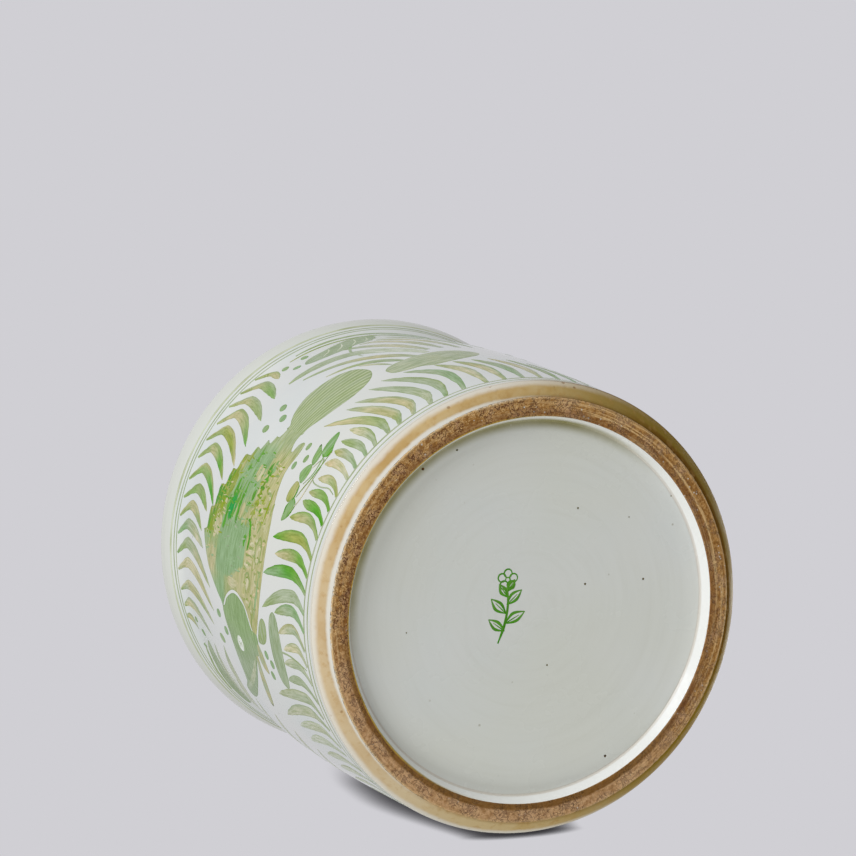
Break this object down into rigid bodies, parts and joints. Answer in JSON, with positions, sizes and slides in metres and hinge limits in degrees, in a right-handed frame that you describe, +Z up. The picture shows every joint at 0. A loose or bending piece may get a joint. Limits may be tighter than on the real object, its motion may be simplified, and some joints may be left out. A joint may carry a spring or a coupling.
{
  "type": "brush holder pot",
  "caption": "Round waisted porcelain pot for holding writing brushes, with a flared round lip, a bevelled heel and a turned foot ring around a shallow glazed recess.",
  "frame": {"origin": "middle of the foot ring's underside, the surface the pot stands on", "axes": "+Z up the pot's axis, out of the mouth; +X and +Y are free, because the solids are turned"},
  "size_m": [0.1996, 0.1996, 0.195],
  "materials": {
    "foot_clay": "bare fired clay, iron brown, turned lines, matt",
    "heel_clay": "bare fired clay burnt tan, smooth, slight sheen",
    "white_clay": "fired porcelain body, hidden under the glaze",
    "outer_glaze": "glossy cool white glaze",
    "inner_glaze": "glossy off-white glaze",
    "lip_glaze": "glossy white glaze, thicker over the lip",
    "recess_glaze": "glossy grey-white glaze with pinholes",
    "green_enamel": "glossy painted enamel, grey green",
    "grey_green_enamel": "glossy painted enamel, pale grey green"
  },
  "bodies": {
    "root": {"foot_ring": "foot_clay", "heel_ring": "heel_clay", "floor_slab": "white_clay", "wall": "white_clay", "lip": "white_clay", "outer_glaze": "outer_glaze", "inner_glaze": "inner_glaze", "lip_glaze": "lip_glaze", "recess_glaze": "recess_glaze", "broad_band": "green_enamel", "mouth_bands": "grey_green_enamel", "heel_bands": "grey_green_enamel"}
  },
  "joints": []
}
